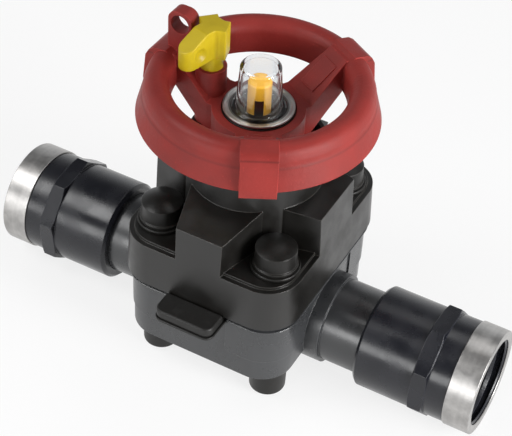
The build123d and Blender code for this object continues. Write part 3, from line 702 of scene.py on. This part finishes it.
class VALVE_OT_body(bpy.types.Operator):
    """Make the weir body with its spigots and mounting pad"""
    bl_idname = "valve.body"
    bl_label = "Body"

    def execute(self, context):
        sizes = context.scene.valve_sizes
        body = soften(cad_copy("valve_body", "body_moulding"), sizes.edge, late=seam_groove)
        dress(body, "root", "body_plastic", "pipe_grey", "valve_body")
        paint_node("base_inserts", "brass")
        return {"FINISHED"}


class VALVE_OT_adaptors(bpy.types.Operator):
    """Make both glued adaptors with their threads and steel rings"""
    bl_idname = "valve.adaptors"
    bl_label = "Adaptors"

    def execute(self, context):
        sizes = context.scene.valve_sizes
        tree = thread_tree()
        bore_low, bore_high = 15.0 * mm, 15.3 * mm
        thread_start, turns = 79.6 * mm, 7.6

        def open_bore(work):
            for vert in work.verts:
                radius = hypot(vert.co.y, vert.co.z - axis_height)
                if bore_low < radius < bore_high:
                    grow = sizes.thread_outer / radius
                    vert.co.y *= grow
                    vert.co.z = axis_height + (vert.co.z - axis_height) * grow

        for side, way in (("inlet", -1), ("outlet", 1)):
            shell = soften(cad_copy(side + "_adaptor", side + "_socket", open_bore), 0.35 * mm)
            dress(shell, "root", "body_plastic", "adaptor_grey", side + "_adaptor")
            band = soften(cad_copy(side + "_ring", side + "_band"), 0.25 * mm, 2)
            dress(band, "root", "steel", "ring_steel", side + "_ring")
            height = sizes.thread_outer - sizes.thread_inner
            thread = run_tree(tree, side + "_thread", {
                "Radius": sizes.thread_outer - height / 2, "Pitch": sizes.thread_pitch, "Turns": turns,
                "Ridge Height": height, "Start": (way * thread_start, 0.0, axis_height),
                "Turned": (0.0, way * pi / 2, 0.0), "Material": finishes["adaptor_grey"]})
            for face in thread.data.polygons:
                face.use_smooth = False
            dress(thread, "root", "body_plastic", "adaptor_grey")
        return {"FINISHED"}


def trim_tab(work):
    """Cut the tab off the sheet, because the tab stays still while the sheet flexes."""
    bmesh.ops.bisect_plane(
        work, geom=work.verts[:] + work.edges[:] + work.faces[:], dist=0.0005 * mm,
        plane_co=(0.0, sheet_front * mm, 0.0), plane_no=(0.0, -1.0, 0.0), clear_outer=True)
    bmesh.ops.holes_fill(work, edges=[edge for edge in work.edges if edge.is_boundary])
    bmesh.ops.recalc_face_normals(work, faces=work.faces)


def tab_layer(work, half, front, back, corner, low, high):
    """Add one flat layer with two round front corners to a bmesh."""
    outline = [(-half, back)]
    for centre, start in ((-half + corner, pi), (half - corner, 1.5 * pi)):
        for index in range(9):
            turn = start + index * pi / 16
            outline.append((centre + corner * cos(turn), front + corner + corner * sin(turn)))
    outline.append((half, back))
    floor = [work.verts.new((x * mm, y * mm, low * mm)) for x, y in outline]
    roof = [work.verts.new((x * mm, y * mm, high * mm)) for x, y in outline]
    work.faces.new(list(reversed(floor)))
    work.faces.new(roof)
    for index in range(len(outline)):
        after = (index + 1) % len(outline)
        work.faces.new((floor[index], floor[after], roof[after], roof[index]))


def tab_piece(name, layer, edge):
    """One layer of the tab with rounded edges."""
    work = bmesh.new()
    tab_layer(work, *layer)
    bmesh.ops.recalc_face_normals(work, faces=work.faces)
    mesh = bpy.data.meshes.new(name)
    work.to_mesh(mesh)
    work.free()
    return soften(new_object(name, mesh), edge, 4, 40.0)


class VALVE_OT_diaphragm(bpy.types.Operator):
    """Make the rubber diaphragm and its tab; the sheet is a fixed mesh, though the real one flexes with
    the spindle
    """
    bl_idname = "valve.diaphragm"
    bl_label = "Diaphragm"

    def execute(self, context):
        sheet = soften(cad_copy("diaphragm", "rubber_diaphragm", trim_tab), 0.6 * mm)
        sheet.data.materials.clear()
        sheet.data.materials.append(finishes["rubber_black"])
        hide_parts("diaphragm")
        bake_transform(sheet)
        # Half width, front, back, corner, low, high and edge of each layer
        layers = {
            "tab_tray": (11.4, -51.2, -41.35, 3.2, 41.0, 44.5, 0.8 * mm),
            "tab_root": (10.9, -50.7, sheet_front - 0.05, 2.8, 40.2, 42.4, 0.2 * mm),
            "tab_sole": (11.75, -51.5, sheet_front - 0.05, 3.4, 39.55, 40.5, 0.25 * mm),
        }
        for name, (*layer, edge) in layers.items():
            dress(tab_piece(name, layer, edge), "root", "rubber", "rubber_black")
        for node in ("bush_o_ring", "spindle_o_ring"):
            paint_node(node, "rubber_black")
        return {"FINISHED"}


class VALVE_OT_bonnet(bpy.types.Operator):
    """Make the bonnet with its arms, pockets and collar"""
    bl_idname = "valve.bonnet"
    bl_label = "Bonnet"

    def execute(self, context):
        sizes = context.scene.valve_sizes
        bonnet = soften(cad_copy("bonnet", "bonnet_moulding"), sizes.edge * 1.3)
        dress(bonnet, "root", "bonnet_plastic", "bonnet_black", "bonnet")
        ring = soften(cad_copy("lock_ring", "notched_ring"), 0.25 * mm, 2)
        dress(ring, "root", "black_plastic", "cap_black", "lock_ring")
        return {"FINISHED"}


def cover_section(sizes):
    """Half section of a bolt cover: a flange, a straight wall, a crisp edge and a low dome."""
    wall, dome = sizes.cover_straight, sizes.cover_dome
    radius, flange, bore = 7.45 * mm, 8.1 * mm, 6.1 * mm
    steps = 10
    bulge = (radius ** 2 + dome ** 2) / (2 * dome)
    section = [(bore, 0.0), (flange, 0.0), (flange, 1.2 * mm), (radius + 0.1 * mm, 1.35 * mm)]
    section.append((radius, wall))
    for index in range(1, steps):
        across = radius * (1 - index / steps)
        section.append((across, wall + dome - bulge + sqrt(bulge ** 2 - across ** 2)))
    section.append((0.0, wall + dome))
    section += [(0.0, wall + dome - 1.0 * mm), (bore, wall - 0.4 * mm)]
    return section


class VALVE_OT_bolts(bpy.types.Operator):
    """Make the bolt covers and the fasteners under them"""
    bl_idname = "valve.bolts"
    bl_label = "Bolts and covers"

    def execute(self, context):
        sizes = context.scene.valve_sizes
        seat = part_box("top_caps")[0].z
        spacing = (sizes.bolt_spacing_x, sizes.bolt_spacing_y)
        piece = soften(lathe("cover", cover_section(sizes), 72), 0.12 * mm, 2, 40.0)
        covers = at_corners("upper_covers", piece, seat, "cap_black", spacing)
        dress(covers, "root", "black_plastic", "cap_black", "top_caps")
        for node, name in (("bottom_caps", "lower_covers"), ("top_washers", "cover_seats")):
            piece = soften(cad_copy(node, name), 0.4 * mm, 3)
            dress(piece, "root", "black_plastic", "cap_black", node)
        for node in ("bonnet_bolts", "bolt_nuts", "bottom_washers"):
            paint_node(node, "pin_steel")
        return {"FINISHED"}


def along(points, height):
    """The second number of a chain of points, read off at a height."""
    for (low, first), (high, last) in zip(points, points[1:]):
        if low <= height <= high:
            return first + (last - first) * (height - low) / (high - low)
    return 0.0


def fold_rim(work):
    """Press the fold into the rim's outer wall and step the grips' shoulders back."""
    wall = (skirt_foot, rim_crease, roll_end)
    fold = ((103.5, 0.1), (107.5, 0.3), (110.4, 0.45), (111.4, 0.5), (112.3, 0.55), (113.3, 0.25),
            (114.4, 0.0))
    levels = (105.5, 107.5, 109.2, 110.4, 111.4, 112.3, 113.3, 114.4)
    grip_half, grip_start, grip_foot, grip_top = 6.6, 40.8, 116.0, 118.0
    for height in levels:
        cut_level(work, height)
    for vert in work.verts:
        radius = hypot(vert.co.x, vert.co.y) / mm
        height = vert.co.z / mm
        if 103.4 < height < 114.5 and abs(radius - along(wall, height)) < 0.4:
            grow = (radius - along(fold, height)) / radius
            vert.co.x *= grow
            vert.co.y *= grow
        for angle in spoke_angles:
            turn = radians(angle)
            out = (vert.co.x * cos(turn) + vert.co.y * sin(turn)) / mm
            across = (vert.co.y * cos(turn) - vert.co.x * sin(turn)) / mm
            if abs(across) < grip_half and out > grip_start and height > grip_foot:
                step, drop = (-1.9, -0.8) if height > grip_top else (-1.1, 0.0)
                vert.co += Vector((cos(turn) * step, sin(turn) * step, drop)) * mm


class VALVE_OT_wheel(bpy.types.Operator):
    """Make the red handwheel"""
    bl_idname = "valve.wheel"
    bl_label = "Handwheel"

    def execute(self, context):
        sizes = context.scene.valve_sizes
        wheel = soften(cad_copy("handwheel", "wheel_moulding", fold_rim), sizes.wheel_edge)
        dress(wheel, "handwheel", "red_plastic", "wheel_red", "handwheel")
        return {"FINISHED"}


class VALVE_OT_hub(bpy.types.Operator):
    """Make the steel disc, the ring nut, the clear cap and the indicator"""
    bl_idname = "valve.hub"
    bl_label = "Hub"

    def execute(self, context):
        disc = soften(cad_copy("hub_disc", "steel_disc"), 0.2 * mm, 2)
        dress(disc, "handwheel", "steel", "disc_steel", "hub_disc")
        nut = soften(cad_copy("hub_nut", "ring_nut"), 0.3 * mm, 2)
        dress(nut, "handwheel", "black_plastic", "cap_black", "hub_nut")
        dome = soften(cad_copy("clear_cap", "clear_dome"), 0.35 * mm, 3)
        dress(dome, "handwheel", "clear_plastic", "clear", "clear_cap")
        mark = soften(cad_copy("position_indicator", "yellow_indicator"), 0.3 * mm, 3)
        dress(mark, "spindle", "yellow_plastic", "mark_yellow", "position_indicator")
        return {"FINISHED"}


class VALVE_OT_lock(bpy.types.Operator):
    """Make the winged key, the lock pin and its spring"""
    bl_idname = "valve.lock"
    bl_label = "Lock"

    def execute(self, context):
        key = carve(cad_copy("lock_key", "winged_key"), key_cutter())
        round_off(key, 0.24 * mm, 7)
        dress(key, "lock_key", "yellow_plastic", "key_yellow", "lock_key")
        paint_node("lock_pin", "pin_steel")
        spring = cad_copy("lock_spring", "coil_spring")
        for face in spring.data.polygons:
            face.use_smooth = True
        dress(spring, "handwheel", "steel", "pin_steel", "lock_spring")
        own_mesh(spring)
        return {"FINISHED"}


class VALVE_OT_inside(bpy.types.Operator):
    """Finish the working pieces inside the bonnet"""
    bl_idname = "valve.inside"
    bl_label = "Inside"

    def execute(self, context):
        looks = {
            "threaded_bush": "bush_brass",
            "bearing_nut": "brass",
            "lower_thrust_washer": "bearing_white",
            "upper_thrust_washer": "bearing_white",
            "spindle": "pin_steel",
            "compressor": "bonnet_black",
            "compressor_pin": "pin_steel",
            "diaphragm_stud": "pin_steel",
        }
        for node, finish in looks.items():
            paint_node(node, finish)
        return {"FINISHED"}


# Studio


def area_light(name, place, aim, size, watts):
    """A rectangular lamp that faces a point."""
    lamp = bpy.data.lights.new(name, "AREA")
    lamp.shape = "RECTANGLE"
    lamp.size, lamp.size_y = size
    lamp.energy = watts
    made = bpy.data.objects.new(name, lamp)
    bpy.context.scene.collection.objects.link(made)
    made.location = place
    made.rotation_mode = "QUATERNION"
    made.rotation_quaternion = (Vector(aim) - Vector(place)).to_track_quat("-Z", "Y")


def make_world():
    """Dim soft light that is brighter near the horizon, and white where the camera sees it."""
    world = bpy.data.worlds.new("studio")
    bpy.context.scene.world = world
    world.use_nodes = True
    graph = Graph(world.node_tree)
    graph.tree.nodes.clear()
    path = graph.node("ShaderNodeLightPath")
    seen = Value(graph, path.outputs["Is Camera Ray"])
    seen = seen.math("MAXIMUM", path.outputs["Is Transmission Ray"])
    glossy = Value(graph, path.outputs["Is Glossy Ray"])
    sky = graph.node("ShaderNodeTexCoord").outputs["Generated"]
    lift = Value(graph, graph.node("ShaderNodeSeparateXYZ", values={0: sky}).outputs[2])
    low = 1 - lift.step(0.05, 0.75)
    level = low * 0.34 + 0.12 + glossy * low * 0.54
    glow = graph.node("ShaderNodeBackground", values={"Color": (1, 1, 1, 1), "Strength": 1.0})
    fill = graph.node("ShaderNodeBackground", values={
        "Color": (0.96, 0.98, 1, 1), "Strength": level})
    both = graph.node("ShaderNodeMixShader", values={0: seen, 1: fill.outputs[0], 2: glow.outputs[0]})
    graph.node("ShaderNodeOutputWorld", values={0: both.outputs[0]})


def make_floor():
    """A pale floor that keeps the valve's shadow and fades to white with distance."""
    floor = new_object("floor", bpy.data.meshes.new("floor"))
    work = bmesh.new()
    bmesh.ops.create_grid(work, x_segments=1, y_segments=1, size=3.0)
    work.to_mesh(floor.data)
    work.free()
    floor.data.transform(Matrix.Translation((0, 0, -0.2 * mm)))
    white = bpy.data.materials.new("floor_white")
    white.use_nodes = True
    graph = Graph(white.node_tree)
    graph.tree.nodes.clear()
    path = graph.node("ShaderNodeLightPath")
    seen = Value(graph, path.outputs["Is Camera Ray"])
    seen = seen.math("MAXIMUM", path.outputs["Is Glossy Ray"])
    seen = seen.math("MAXIMUM", path.outputs["Is Transmission Ray"])
    paper = graph.node("ShaderNodeBsdfDiffuse", values={"Color": (0.86, 0.86, 0.86, 1)})
    glow = graph.node("ShaderNodeEmission", values={"Color": (1, 1, 1, 1), "Strength": 1.0})
    spot = graph.node("ShaderNodeTexCoord").outputs["Object"]
    reach = graph.value("ShaderNodeVectorMath", {"operation": "LENGTH"}, {0: spot}, 1)
    clean = seen * (reach.step(0.25, 1.3) * 0.2 + 0.8)
    both = graph.node("ShaderNodeMixShader", values={
        0: clean, 1: paper.outputs[0], 2: glow.outputs[0]})
    graph.node("ShaderNodeOutputMaterial", values={0: both.outputs[0]})
    floor.data.materials.append(white)


def make_camera():
    """The camera at the photograph's viewing angle."""
    sensor, image_width, focal_pixels = 36.0, 512, 1582.12
    turn, lift, roll = radians(26.64), radians(42.46), radians(-3.34)
    target, distance = Vector((1.39, 0.0, 53.92)) * mm, 580.79
    lens = bpy.data.cameras.new("camera")
    lens.sensor_width = sensor
    lens.lens = focal_pixels / image_width * sensor
    lens.clip_start, lens.clip_end = 0.01, 20.0
    camera = bpy.data.objects.new("camera", lens)
    bpy.context.scene.collection.objects.link(camera)
    back = Vector((sin(turn) * cos(lift), -cos(turn) * cos(lift), sin(lift)))
    right = Vector((cos(turn), sin(turn), 0.0))
    up = back.cross(right)
    right, up = cos(roll) * right - sin(roll) * up, sin(roll) * right + cos(roll) * up
    camera.matrix_world = Matrix((right, up, back)).transposed().to_4x4()
    camera.location = target + back * distance * mm
    bpy.context.scene.camera = camera


class VALVE_OT_stage(bpy.types.Operator):
    """Make the floor, the lamps, the world and the camera"""
    bl_idname = "valve.stage"
    bl_label = "Stage"

    def execute(self, context):
        make_world()
        make_floor()
        aim = (0.0, 0.0, 0.06)
        area_light("key", (-0.45, -0.35, 0.75), aim, (0.4, 0.4), 3.4)
        area_light("top", (0.1, 0.35, 0.9), aim, (0.5, 0.4), 1.4)
        area_light("side", (0.85, -0.15, 0.3), aim, (0.4, 0.5), 11.0)
        area_light("front", (-0.25, -0.9, 0.25), aim, (0.6, 0.3), 3.0)
        make_camera()
        context.scene.view_settings.view_transform = "Standard"
        return {"FINISHED"}


class VALVE_PT_panel(bpy.types.Panel):
    """The valve's settings and the buttons that build its pieces"""
    bl_idname = "VALVE_PT_panel"
    bl_label = "Diaphragm valve"
    bl_space_type = "VIEW_3D"
    bl_region_type = "UI"
    bl_category = "Valve"

    def draw(self, context):
        for group in (context.scene.valve_sizes, context.scene.valve_colours):
            column = self.layout.column(align=True)
            for key in group.__annotations__:
                column.prop(group, key)
        for operator in operators:
            self.layout.operator(operator.bl_idname)


operators = (
    VALVE_OT_finishes, VALVE_OT_body, VALVE_OT_adaptors, VALVE_OT_diaphragm, VALVE_OT_bonnet,
    VALVE_OT_bolts, VALVE_OT_wheel, VALVE_OT_hub, VALVE_OT_lock, VALVE_OT_inside, VALVE_OT_stage)
classes = (ValveSizes, ValveColours, *operators, VALVE_PT_panel)


def register():
    for item in classes:
        bpy.utils.register_class(item)
    bpy.types.Scene.valve_sizes = bpy.props.PointerProperty(type=ValveSizes)
    bpy.types.Scene.valve_colours = bpy.props.PointerProperty(type=ValveColours)


def unregister():
    del bpy.types.Scene.valve_colours
    del bpy.types.Scene.valve_sizes
    for item in reversed(classes):
        bpy.utils.unregister_class(item)


def main():
    register()
    for operator in operators:
        group, name = operator.bl_idname.split(".")
        getattr(getattr(bpy.ops, group), name)()


if __name__ == "__main__":
    main()
